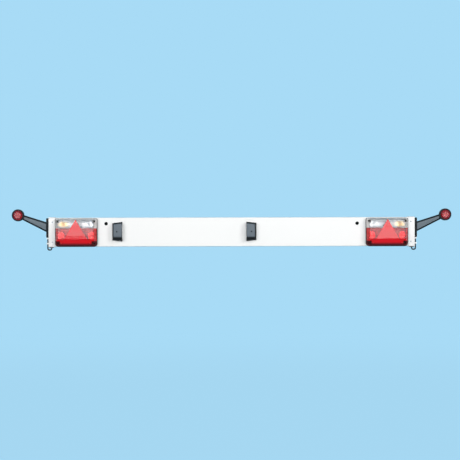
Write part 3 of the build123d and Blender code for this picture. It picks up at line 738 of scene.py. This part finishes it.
def marker_leads():
    """Round cables in place of the six-sided leads: down the end cap, under the board, up to the socket."""
    low, high = solids("marker_leads")[1]
    radius = (high.y - low.y) / math.sqrt(3)
    y = middle((low, high)).y
    outer_x = high.x - radius
    inner_x = middle(solids("lead_grommets")[1]).x
    top_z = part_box("right_marker_arm")[0].z
    low_z = low.z + radius
    straight_z = low_z + outer_x - inner_x
    route = [(outer_x, top_z), (outer_x, straight_z), (outer_x, low_z),
             (inner_x, low_z), (inner_x, straight_z), (inner_x, lamp_centre.z), (low.x, lamp_centre.z)]
    curve = bpy.data.curves.new("marker leads", "CURVE")
    curve.dimensions = "3D"
    curve.bevel_depth = radius
    curve.bevel_resolution = 4
    curve.use_fill_caps = True
    for side in (1, -1):
        spline = curve.splines.new("NURBS")
        spline.points.add(len(route) - 1)
        for point, (x, z) in zip(spline.points, route):
            point.co = (side * x, y, z, 1)
        spline.order_u = 3
        spline.use_endpoint_u = True
    holder = bpy.data.objects.new("marker lead path", curve)
    bpy.context.scene.collection.objects.link(holder)
    mesh = plain_mesh(holder)
    mesh.shade_smooth()
    mesh.set_sharp_from_angle(angle=math.radians(60))
    leads = placed("round-marker-leads", mesh, "cable_jacket")
    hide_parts("marker_leads")


def softened(node, radius):
    """A copy of a CAD node with its edges rounded as moulding leaves them."""
    form = bmesh.new()
    form.from_mesh(parts[node].data)
    bmesh.ops.remove_doubles(form, verts=form.verts, dist=weld)
    bmesh.ops.dissolve_limit(form, angle_limit=math.radians(1), verts=form.verts, edges=form.edges)
    mesh = bpy.data.meshes.new(node)
    form.to_mesh(mesh)
    form.free()
    piece = placed("soft-" + node.replace("_", "-"), mesh, slots[node])
    bevel = piece.modifiers.new("soft edges", "BEVEL")
    bevel.width = radius
    bevel.segments = edge_steps
    bevel.limit_method = "ANGLE"
    bevel.angle_limit = math.radians(25)
    bevel.use_clamp_overlap = True
    graph = bpy.context.evaluated_depsgraph_get()
    piece.data = bpy.data.meshes.new_from_object(piece.evaluated_get(graph))
    piece.modifiers.clear()
    piece.data.shade_smooth()
    piece.data.set_sharp_from_angle(angle=math.radians(35))
    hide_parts(node)


screws = cross_screws()
for node in ("end_cap_screws", "lens_screws", "plate_lamp_screws"):
    screw_heads(node, screws)
stud_threads()
bolt_flanges()
socket_blades()
bulb_dishes()
for node in ("indicator_bulbs", "reversing_bulbs", "tail_bulbs", "fog_bulbs"):
    bulbs(node)
marker_units()
marker_leads()
for side in ("left", "right"):
    softened(side + "_marker_arm", arm_edge)
    softened(side + "_plate_lamp_cover", cover_edge)
    softened(side + "_end_cap", cap_edge)


# Stage: pale floor, soft light and the camera
def seen_rays(tree):
    """1 for what the camera, a shine or a clear piece shows, and 0 for what only lights the object."""
    path = add(tree, "ShaderNodeLightPath").outputs
    seen = path["Is Camera Ray"]
    for ray in ("Is Glossy Ray", "Is Transmission Ray"):
        seen = add(tree, "ShaderNodeMath", {0: seen, 1: path[ray]}, operation="MAXIMUM").outputs[0]
    return seen


def sky():
    """A plain blue that is seen and mirrored, and a paler even light on the object."""
    world = bpy.data.worlds.new("sky")
    bpy.context.scene.world = world
    world.use_nodes = True
    tree = world.node_tree
    seen = add(tree, "ShaderNodeBackground", {"Color": linear(sky_blue), "Strength": 1.0})
    light = add(tree, "ShaderNodeBackground", {"Color": linear("#FFFDFA"), "Strength": sky_light})
    mix = add(tree, "ShaderNodeMixShader", {0: seen_rays(tree), 1: light.outputs[0], 2: seen.outputs[0]})
    tree.links.new(mix.outputs[0], tree.nodes["World Output"].inputs["Surface"])


def floor():
    """A pale floor in the sky's blue, with soft shadows near the board, that runs into the sky far off."""
    material = bpy.data.materials.new("pale studio floor")
    material.use_nodes = True
    tree = material.node_tree
    tree.nodes.clear()
    place = add(tree, "ShaderNodeTexCoord").outputs["Object"]
    cloud = add(tree, "ShaderNodeTexNoise", {"Vector": place, "Scale": 2.0, "Detail": 1.0}).outputs[0]
    greys = {"Factor": cloud, 6: linear("#9AA0A4"), 7: linear("#969CA0")}
    tone = add(tree, "ShaderNodeMix", greys, data_type="RGBA")
    lit = add(tree, "ShaderNodeBsdfDiffuse", {"Color": tone.outputs[2]})
    away = add(tree, "ShaderNodeVectorMath", {0: place}, operation="LENGTH").outputs["Value"]
    shadow_range = {"Value": away, "From Min": 1.5, "From Max": 6.0, "To Min": 0.95, "To Max": 1.0}
    even = add(tree, "ShaderNodeMapRange", shadow_range, interpolation_type="SMOOTHSTEP").outputs[0]
    share = add(tree, "ShaderNodeMath", {0: seen_rays(tree), 1: even}, operation="MULTIPLY")
    blue = add(tree, "ShaderNodeEmission", {"Color": linear(sky_blue), "Strength": 1.0})
    mix = add(tree, "ShaderNodeMixShader", {0: share.outputs[0], 1: lit.outputs[0], 2: blue.outputs[0]})
    add(tree, "ShaderNodeOutputMaterial", {"Surface": mix.outputs[0]})
    bpy.ops.mesh.primitive_plane_add(size=floor_size, location=(0, 0, floor_z))
    plane = bpy.context.object
    plane.name = "floor"
    plane.data.materials.append(material)


def softbox(name, place, target, width, height, radiance):
    """An even lamp panel that looks at a target and shines with a set radiance."""
    lamp = bpy.data.lights.new(name, "AREA")
    lamp.shape = "RECTANGLE"
    lamp.size = width
    lamp.size_y = height
    lamp.energy = radiance * math.pi * width * height
    panel = bpy.data.objects.new(name, lamp)
    panel.location = place
    panel.rotation_euler = (Vector(target) - Vector(place)).to_track_quat("-Z", "Y").to_euler()
    panel.visible_camera = False
    bpy.context.scene.collection.objects.link(panel)


def camera():
    """A long lens square in front of the board, with the photograph's frame and its slight roll."""
    view = bpy.data.cameras.new("camera")
    view.sensor_width = sensor
    view.lens = sensor * view_distance / view_width
    eye = bpy.data.objects.new("camera", view)
    eye.location = (view_x, -view_distance, view_z)
    eye.rotation_euler = Matrix.Rotation(math.radians(90), 4, "X").to_euler()
    eye.rotation_euler.rotate_axis("Z", math.radians(-view_roll))
    bpy.context.scene.collection.objects.link(eye)
    bpy.context.scene.camera = eye


sky()
floor()
softbox("front panel", (-0.4, -7.4, 1.75), (-0.4, 0, 1.75), width=7.5, height=3.5, radiance=1.5)
softbox("left strip", (-1.75, -7.35, 0.75), (-1.75, 0, 0.75), width=2.2, height=0.7, radiance=9.5)
softbox("right strip", (1.2, -7.35, 0.45), (1.2, 0, 0.45), width=3.2, height=1.1, radiance=8.6)
softbox("key panel", (5.0, -6.7, 2.6), (0, 0, 0), width=2.6, height=3.0, radiance=9.0)
softbox("left fill", (-3.6, -7.1, 1.6), (0, 0, 0), width=3.0, height=3.0, radiance=4.9)
softbox("back panel", (-2.0, 6.0, 2.0), (0, 0, 0), width=5.0, height=3.0, radiance=2.0)
camera()
bpy.context.scene.view_settings.view_transform = "Standard"
